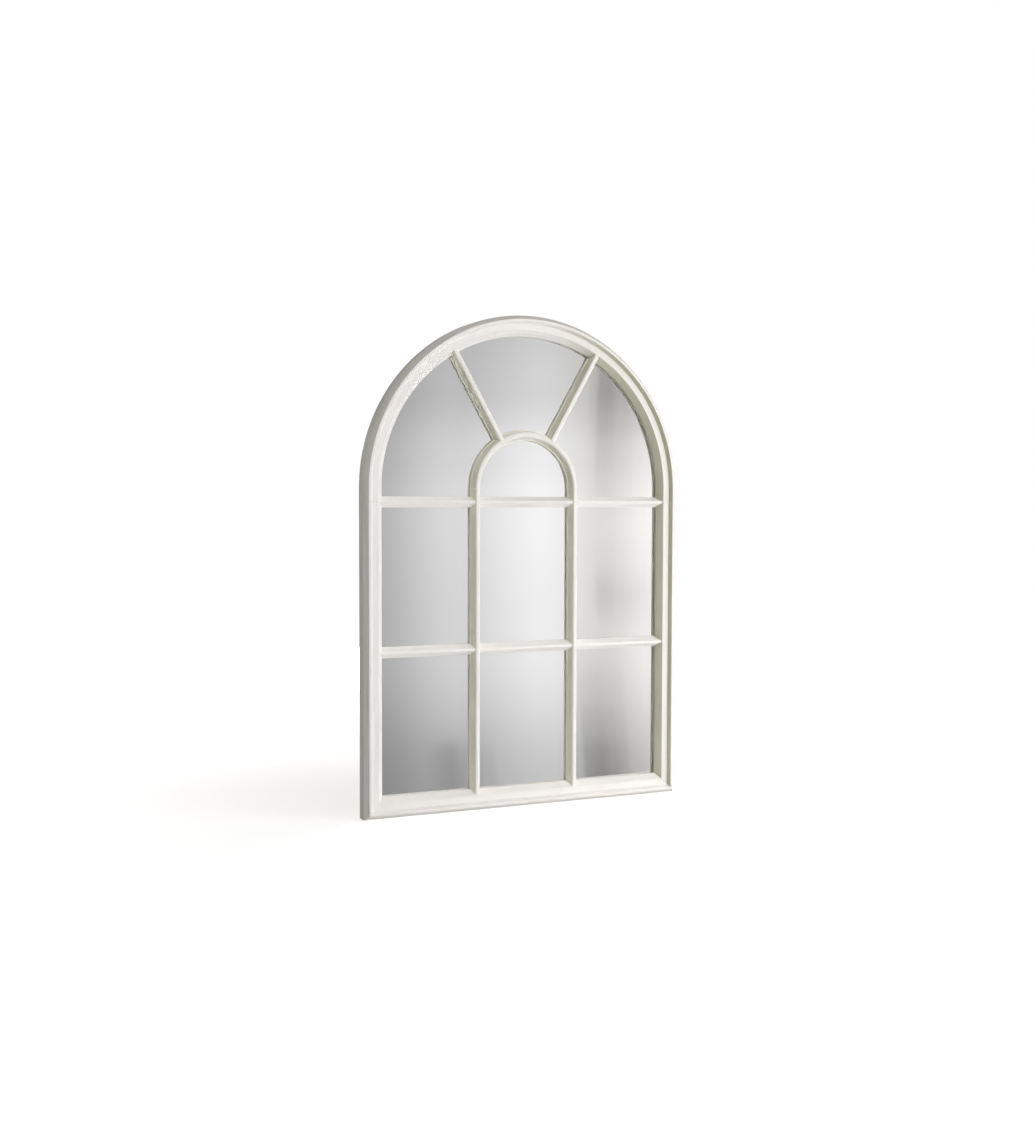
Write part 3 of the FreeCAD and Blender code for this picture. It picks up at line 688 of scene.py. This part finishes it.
join(tree, times(tree, bent, opposite(tree, corners)), made.inputs["Edges"])
join(tree, rounded.outputs["Normal"], made.inputs["Soft Normal"])
print("group:", wear_group.name)

# %% [markdown]
# ## Sides of a member
#
# The brush leaves more streaks on the steep sides of the moulding than on its face. The sides that look left,
# away from the light on the right, are painted darker: that is painted shade. Painting those by hand would need
# a mask for every piece. The normal already tells which way a point faces, so one group turns it into three
# masks.

# %% A group that knows the sides
side_group, given, made = new_group("sides", [], [("Steep", "value"), ("Turned From Light", "value"), ("Left Shade", "value")])
tree = side_group
facing = axes_of(tree, true_normal(tree))
join(tree, spread(tree, math_node(tree, "ABSOLUTE", facing["Y"]), 0.75, 0.45), made.inputs["Steep"])
# The last two masks pick the sides that look left, away from the light, for painted shade.
join(tree, spread(tree, facing["X"], 0.15, -0.25), made.inputs["Turned From Light"])
join(tree, spread(tree, facing["X"], -0.15, -0.5), made.inputs["Left Shade"])
print("group:", side_group.name)

# %% [markdown]
# ## Glue joints
#
# Where two members meet, the paint has opened to a hairline: level across each side at the foot of the arch,
# and on the slant across the two lower corners. A groove in the mesh would be far finer than a pixel, so the
# line is drawn by its distance from the plane of the joint, and broken up by noise as real cracks are.

# %% A group that draws the joints
JOINT_LINE = 0.0005
MITRE_TOP = 0.06
joint_group, given, made = new_group(
    "glue_joints", [("Joint Height", "value"), ("Half Width", "value")], [("Joint", "value")]
)
tree = joint_group
place = axes_of(tree, object_place(tree))
above_joint = math_node(tree, "SUBTRACT", place["Z"], given.outputs["Joint Height"])
from_head = math_node(tree, "ABSOLUTE", above_joint)
out_and_up = math_node(tree, "ADD", math_node(tree, "ABSOLUTE", place["X"]), place["Z"])
beyond_mitre = math_node(tree, "SUBTRACT", out_and_up, given.outputs["Half Width"])
from_mitre = math_node(tree, "ABSOLUTE", times(tree, beyond_mitre, math.sqrt(0.5)))
above_mitre = math_node(tree, "GREATER_THAN", place["Z"], MITRE_TOP)
from_mitre = math_node(tree, "ADD", from_mitre, above_mitre)
line = spread(tree, math_node(tree, "MINIMUM", from_head, from_mitre), JOINT_LINE, 0.0)
breaks = texture_on(tree, "ShaderNodeTexNoise", Scale=180.0, Detail=2.0)
join(tree, times(tree, line, spread(tree, breaks.outputs["Fac"], 0.3, 0.55)), made.inputs["Joint"])
print("group:", joint_group.name)

# %% [markdown]
# ## Painted members
#
# Each member takes the same paint with its own direction: level, slanting for the rays of the fan, or upright
# and then turned, so that the streaks of a stile run on into the arch. The paint is warm white. Streaks thin it
# to the wash, edges are paler, partly rubbed and partly a painted highlight, and the streaks also raise the
# surface and break up its sheen. Corners and recesses are darkened as painted shade. The cross bars are a little
# paler, as painted light, and the right-hand members carry much more painted shade, most of all on the sides
# that look left, away from the light. In the arch the corner and recess shade fades in to the right of the
# crown, so that the two halves meet in one tone.

# %% Helpers for finishes
def place_group(tree, group, **values):
    """A group node in a material, with its own values; returns its outputs."""
    node = new_node(tree, "ShaderNodeGroup", node_tree=group)
    for label, value in values.items():
        feed(tree, value, node.inputs[label.replace("_", " ")])
    return node.outputs


def roughen(tree, shader, value, least, more):
    """Roughness that rises with a value."""
    join(tree, math_node(tree, "ADD", times(tree, value, more), least), shader.inputs["Roughness"])


def raise_surface(tree, shader, height, strength, distance, normal=None):
    """Bump a surface; the normal to start from is given where the edges are rounded."""
    bump = new_node(tree, "ShaderNodeBump", Strength=strength, Distance=distance)
    join(tree, height, bump.inputs["Height"])
    if normal is not None:
        join(tree, normal, bump.inputs["Normal"])
    join(tree, bump.outputs["Normal"], shader.inputs["Normal"])


def finish(names, material):
    """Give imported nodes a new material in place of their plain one."""
    for name in names:
        mesh = nodes[name].data
        mesh.materials.clear()
        mesh.materials.append(material)


stile_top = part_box("left_stile")[1].z
frame_half_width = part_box("bottom_rail")[1].x
print("joint with the arch at", round(stile_top, 4), "m")

# %% The paint
COATS = ((0.815, 0.795, 0.785), (0.785, 0.765, 0.745))
LIT_COATS = ((0.87, 0.855, 0.85), (0.845, 0.83, 0.82))
# The two stain tones below are painted shade: the first for recesses, the deep one for sides that look left and
# for the right-hand members. The wash also gives the painted shade in the corners, and the rubbed tone is partly
# a painted highlight.
PAINTED_RECESS_SHADE = (0.79, 0.78, 0.65)
DEEP_PAINTED_SHADE = (0.38, 0.37, 0.27)
WASH_AND_CORNER_SHADE = (0.36, 0.345, 0.27)
RUBBED_AND_HIGHLIGHT = (0.90, 0.88, 0.86)
STREAKS_ACROSS = 420.0
STREAKS_ALONG = 9.0
FACE_STREAKS = 0.2
SIDE_STREAKS = 0.3
THINNING = 3.0
RUB_AND_HIGHLIGHT = 0.8
JOINT_SHADE = 0.75
JOINT_DEPTH = 2.0


def painted(
    name, slant=0.0, turned=0.0, coats=COATS, streaky=1.0, corner_shade=0.15,
    recess_shade=0.9, recess_shade_colour=PAINTED_RECESS_SHADE, left_shade=0.0, fade=None,
):
    """Brushed paint with its streaks along a member, and painted shade in the corners and in the recesses that
    face away from the light; a further amount paints shade on the sides that look left, and fade is the stretch
    of X over which the corner and recess shade come in."""
    material, tree, shader = principled(name)
    grain = place_group(tree, grain_group, Slant=slant, Turned=turned, Arch_Centre=spring_height)
    brush = place_group(
        tree, streak_group, Grain=grain["Grain"], Across_Scale=STREAKS_ACROSS, Along_Scale=STREAKS_ALONG
    )
    wear = place_group(tree, wear_group, Corner_Reach=0.009, Recess_Reach=0.03, Edge_Radius=0.0012)
    sides = place_group(tree, side_group)
    joint = place_group(tree, joint_group, Joint_Height=stile_top, Half_Width=frame_half_width)["Joint"]
    colour = blend_colours(tree, brush["Bands"], *coats)
    thin = math_node(tree, "POWER", brush["Streaks"], THINNING)
    more_on_sides = math_node(
        tree, "ADD", times(tree, sides["Steep"], SIDE_STREAKS * streaky), FACE_STREAKS * streaky
    )
    colour = blend_colours(tree, times(tree, thin, more_on_sides), colour, WASH_AND_CORNER_SHADE)
    # Painted shade: the sides that look left are darkened towards a deep olive grey.
    if left_shade:
        colour = blend_colours(tree, times(tree, sides["Left Shade"], left_shade), colour, DEEP_PAINTED_SHADE)
    # Painted shade in the recesses that face away from the light; with the corners below, it fades in along X
    # where fade is given.
    shaded_recesses = times(tree, wear["Recess"], sides["Turned From Light"])
    shaded_corners = wear["Corners"]
    if fade:
        present = spread(tree, axes_of(tree, object_place(tree))["X"], *fade)
        shaded_recesses = times(tree, shaded_recesses, present)
        shaded_corners = times(tree, shaded_corners, present)
    if recess_shade:
        colour = blend_colours(tree, times(tree, shaded_recesses, recess_shade), colour, recess_shade_colour)
    # Painted shade in the corners, in the greenish grey of the wash.
    if corner_shade:
        colour = blend_colours(tree, times(tree, shaded_corners, corner_shade), colour, WASH_AND_CORNER_SHADE)
    # Paler edges: partly rubbed paint, partly a painted highlight on the rounded arrises.
    colour = blend_colours(tree, times(tree, wear["Edges"], RUB_AND_HIGHLIGHT), colour, RUBBED_AND_HIGHLIGHT)
    colour = blend_colours(tree, times(tree, joint, JOINT_SHADE), colour, WASH_AND_CORNER_SHADE)
    join(tree, colour, shader.inputs["Base Color"])
    roughen(tree, shader, brush["Streaks"], least=0.42, more=0.16)
    height = math_node(tree, "SUBTRACT", brush["Streaks"], times(tree, joint, JOINT_DEPTH))
    raise_surface(tree, shader, height, strength=0.35, distance=0.0003, normal=wear["Soft Normal"])
    return material


LEVEL = math.radians(90)
rail_paint = painted("level_paint", slant=LEVEL, streaky=0.35, corner_shade=0.0, recess_shade=0.0)
finish(["bottom_rail"], rail_paint)
print("paint of the rail:", len(rail_paint.node_tree.nodes), "nodes")

# %% Paint on the other members
RAY_SLANT = math.radians(30)
cross_bars = [name for name in nodes if "cross_bar" in name]
# The cross bars' paler coats are painted light. The other paints carry painted shade in corners and recesses,
# and most also on the sides that look left; the right-hand members carry the most.
paint_jobs = [
    (cross_bars, painted("lit_cross_paint", slant=LEVEL, coats=LIT_COATS, streaky=0.35, corner_shade=0.0, recess_shade=0.0)),
    (["left_stile", "arch_left"], painted("frame_paint", turned=1.0, corner_shade=0.1, recess_shade=0.15)),
    (
        ["left_upright_bar", "right_upright_bar", "fan_arch_bar"],
        painted("bar_paint", turned=1.0, recess_shade=0.6, left_shade=0.4),
    ),
    (
        ["right_stile"],
        painted("shaded_stile_paint", turned=1.0, corner_shade=1.2, recess_shade=0.7, recess_shade_colour=DEEP_PAINTED_SHADE, left_shade=0.62),
    ),
    (
        ["arch_right"],
        painted(
            "shaded_arch_paint", turned=1.0, corner_shade=0.9, recess_shade=0.7, recess_shade_colour=DEEP_PAINTED_SHADE, left_shade=0.74,
            fade=(0.0, 0.22),
        ),
    ),
    (["left_ray_bar"], painted("left_ray_paint", slant=-RAY_SLANT, recess_shade=0.5, left_shade=0.45)),
    (["right_ray_bar"], painted("right_ray_paint", slant=RAY_SLANT, recess_shade=0.5, left_shade=0.6)),
]
for names, paint in paint_jobs:
    finish(names, paint)
print("painted besides the rail:", sum(len(names) for names, paint in paint_jobs))

# %% [markdown]
# ## Backing board
#
# The board is brown hardboard: pressed wood fibre with a smooth face. At arm's length it looks even, but close
# to it is a felt of short fibres with darker flecks and faint rubs. Two scales of noise give the fibres and the
# rubs, and the fibres also give the tooth of the surface.

# %% The board
FIBRE_DARK = (0.20, 0.115, 0.06)
FIBRE_PALE = (0.36, 0.225, 0.125)
BOARD_RUB = (0.30, 0.20, 0.125)
FLECK = (0.10, 0.055, 0.03)
RUBS = 0.35
FLECKS = 0.5
hardboard, tree, shader = principled("hardboard")
fibres = texture_on(tree, "ShaderNodeTexNoise", Scale=900.0, Detail=5.0, Roughness=0.7).outputs["Fac"]
rubs = texture_on(tree, "ShaderNodeTexNoise", Scale=7.0, Detail=3.0).outputs["Fac"]
flecks = texture_on(tree, "ShaderNodeTexVoronoi", Scale=260.0).outputs["Distance"]
colour = blend_colours(tree, spread(tree, fibres, 0.3, 0.7), FIBRE_DARK, FIBRE_PALE)
colour = blend_colours(tree, times(tree, spread(tree, rubs, 0.35, 0.65), RUBS), colour, BOARD_RUB)
colour = blend_colours(tree, times(tree, spread(tree, flecks, 0.16, 0.05), FLECKS), colour, FLECK)
join(tree, colour, shader.inputs["Base Color"])
roughen(tree, shader, fibres, least=0.5, more=0.2)
raise_surface(tree, shader, fibres, strength=0.3, distance=0.0002)
finish(["backing_board"], hardboard)

# %% [markdown]
# ## Dowels
#
# The dowels are beech and sit inside the joints, out of sight. They still get their own grain, so that a
# member taken apart shows the right wood.

# %% Beech
BEECH_DARK = (0.52, 0.34, 0.19)
BEECH_PALE = (0.68, 0.49, 0.30)
beech, tree, shader = principled("beech")
grain = place_group(tree, grain_group, Slant=0.0, Turned=0.0, Arch_Centre=spring_height)
pores = place_group(tree, streak_group, Grain=grain["Grain"], Across_Scale=1500.0, Along_Scale=60.0)
join(tree, blend_colours(tree, pores["Streaks"], BEECH_DARK, BEECH_PALE), shader.inputs["Base Color"])
roughen(tree, shader, pores["Bands"], least=0.5, more=0.15)
dowels = [name for name in nodes if name.endswith("_dowels")]
finish(dowels, beech)
print("dowel groups:", len(dowels))

# %% [markdown]
# ## Zinc-plated steel
#
# The straps, rings and screws are pressed steel with a thin zinc coat. Zinc dulls unevenly: it has a pale
# crystal pattern, a faint yellow cast in the corners, and brighter edges where it has been handled.

# %% The zinc coat
ZINC_DARK = (0.62, 0.62, 0.60)
ZINC_PALE = (0.72, 0.72, 0.71)
ZINC_CORNER = (0.42, 0.38, 0.29)
ZINC_EDGE = (0.82, 0.82, 0.81)
YELLOWED = 0.5
HANDLED = 0.6
zinc, tree, shader = principled("zinc_plate")
crystals = texture_on(tree, "ShaderNodeTexVoronoi", Scale=420.0).outputs["Color"]
dull = texture_on(tree, "ShaderNodeTexNoise", Scale=160.0, Detail=4.0).outputs["Fac"]
wear = place_group(tree, wear_group, Corner_Reach=0.003, Recess_Reach=0.01, Edge_Radius=0.0003)
colour = blend_colours(tree, crystals, ZINC_DARK, ZINC_PALE)
colour = blend_colours(tree, times(tree, wear["Corners"], YELLOWED), colour, ZINC_CORNER)
colour = blend_colours(tree, times(tree, wear["Edges"], HANDLED), colour, ZINC_EDGE)
join(tree, colour, shader.inputs["Base Color"])
shader.inputs["Metallic"].default_value = 1.0
roughen(tree, shader, dull, least=0.22, more=0.25)
raise_surface(tree, shader, dull, strength=0.1, distance=0.0001, normal=wear["Soft Normal"])
hardware = [name for name in nodes if name.startswith(("hanger_strap", "hanger_ring"))]
finish(hardware, zinc)
print("zinc plated:", hardware)

# %% [markdown]
# ## Screws
#
# The board and the straps are held by countersunk wood screws with a cross recess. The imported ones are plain
# cones, so new ones are turned in their places: a pointed shank, a cone, a narrow rim and a flat face with the
# cross sunk into it. Every ring of the mesh has the same number of points, placed at the angles where the
# cross has its corners, so that round rings and cross-shaped rings join with plain four-sided faces.

# %% Where the screws are
SAME_SCREW = 0.008


def screw_places(node):
    """The box of every screw in a packed group, found by gathering the points that lie close together."""
    heaps = []
    for vertex in nodes[node].data.vertices:
        point = vertex.co.copy()
        for heap in heaps:
            if math.hypot(point.x - heap[0].x, point.z - heap[0].z) < SAME_SCREW:
                heap.append(point)
                break
        else:
            heaps.append([point])
    boxes = []
    for heap in heaps:
        low = Vector([min(point[axis] for point in heap) for axis in range(3)])
        high = Vector([max(point[axis] for point in heap) for axis in range(3)])
        boxes.append((low, high))
    return boxes


for node in ("backing_screws", "hanger_screws"):
    print(node, len(screw_places(node)))

# %% A ring in the form of a cross
ARM_REACH = 0.58
ARM_HALF_WIDTH = 0.15
TINY = 1e-6
arm_corner = math.atan2(ARM_HALF_WIDTH, ARM_REACH)
inner_corner = math.pi / 4
between = (arm_corner + inner_corner) / 2
quarter = [0.0, arm_corner, between, inner_corner, math.pi / 2 - between, math.pi / 2 - arm_corner]
ring_angles = [turn * math.pi / 2 + angle for turn in range(4) for angle in quarter]


def cross_radius(angle):
    """How far the outline of the cross is from its middle, as a share of the head's radius."""
    wide, narrow = sorted((abs(math.cos(angle)), abs(math.sin(angle))), reverse=True)
    return min(ARM_REACH / wide, ARM_HALF_WIDTH / max(narrow, TINY))


print("points in a ring:", len(ring_angles))

# %% Profile of a screw
SHANK = 0.5
POINT = 0.08
POINT_LENGTH = 2.5
RIM = 0.06
FLAT_FACE = 0.97
RECESS_DEPTH = 0.42
RECESS_TAPER = 0.8
RECESS_POINT = 0.05
RECESS_POINT_DEPTH = 1.25


def screw_profile(head, tip, face):
    """The rings of a screw from its point to the bottom of its recess: radius, whether crossed, and Y."""
    shank = head * SHANK
    recess = RECESS_DEPTH * head
    return [
        (POINT * shank, False, tip),
        (shank, False, tip + POINT_LENGTH * shank),
        (shank, False, face - (head - shank)),
        (head, False, face - RIM * head),
        (FLAT_FACE * head, False, face),
        (head, True, face),
        (RECESS_TAPER * head, True, face - recess),
        (RECESS_POINT * head, False, face - RECESS_POINT_DEPTH * recess),
    ]


print("rings of a screw:", len(screw_profile(1.0, 0.0, 1.0)))

# %% Screws with a cross recess
FIRST_TURN = 0.4
NEXT_TURN = 1.9


def add_screw(shape, low, high, turn):
    """One screw in its box, with its cross turned by an angle."""
    middle_x, middle_z = (low.x + high.x) / 2, (low.z + high.z) / 2
    rings = []
    for radius, crossed, y in screw_profile((high.x - low.x) / 2, low.y, high.y):
        ring = []
        for angle in ring_angles:
            reach = radius * cross_radius(angle) if crossed else radius
            x, z = middle_x + reach * math.cos(angle + turn), middle_z + reach * math.sin(angle + turn)
            ring.append(shape.verts.new((x, y, z)))
        rings.append(ring)
    join_rings(shape, rings)
    shape.faces.new(list(reversed(rings[0])))
    shape.faces.new(rings[-1])


def make_screws(name, node):
    """All the screws of a packed group as one piece, each with its cross turned another way."""
    shape = bmesh.new()
    for number, (low, high) in enumerate(screw_places(node)):
        add_screw(shape, low, high, FIRST_TURN + NEXT_TURN * number)
    screws = object_from(shape, name)
    screws.data.materials.append(zinc)
    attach(screws, "mirror")
    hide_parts(node)
    return screws


for name, node in (("board_screws", "backing_screws"), ("strap_screws", "hanger_screws")):
    screws = make_screws(name, node)
    print(name, "faces:", len(screws.data.polygons))

# %% [markdown]
# ## Rubber bumpers
#
# Two pads keep the lower end off the wall. Moulded rubber is nearly black and matt, with a fine tooth and a
# little dust on it.

# %% The rubber
RUBBER_BLACK = (0.022, 0.022, 0.023)
RUBBER_DUST = (0.075, 0.073, 0.07)
rubber, tree, shader = principled("bumper_rubber")
tooth = texture_on(tree, "ShaderNodeTexNoise", Scale=2400.0, Detail=3.0).outputs["Fac"]
dust = texture_on(tree, "ShaderNodeTexNoise", Scale=220.0, Detail=4.0).outputs["Fac"]
colour = blend_colours(tree, spread(tree, dust, 0.45, 0.75), RUBBER_BLACK, RUBBER_DUST)
join(tree, colour, shader.inputs["Base Color"])
roughen(tree, shader, dust, least=0.55, more=0.3)
raise_surface(tree, shader, tooth, strength=0.4, distance=0.0002)
finish(["wall_bumpers"], rubber)
print("rubber on: wall_bumpers")
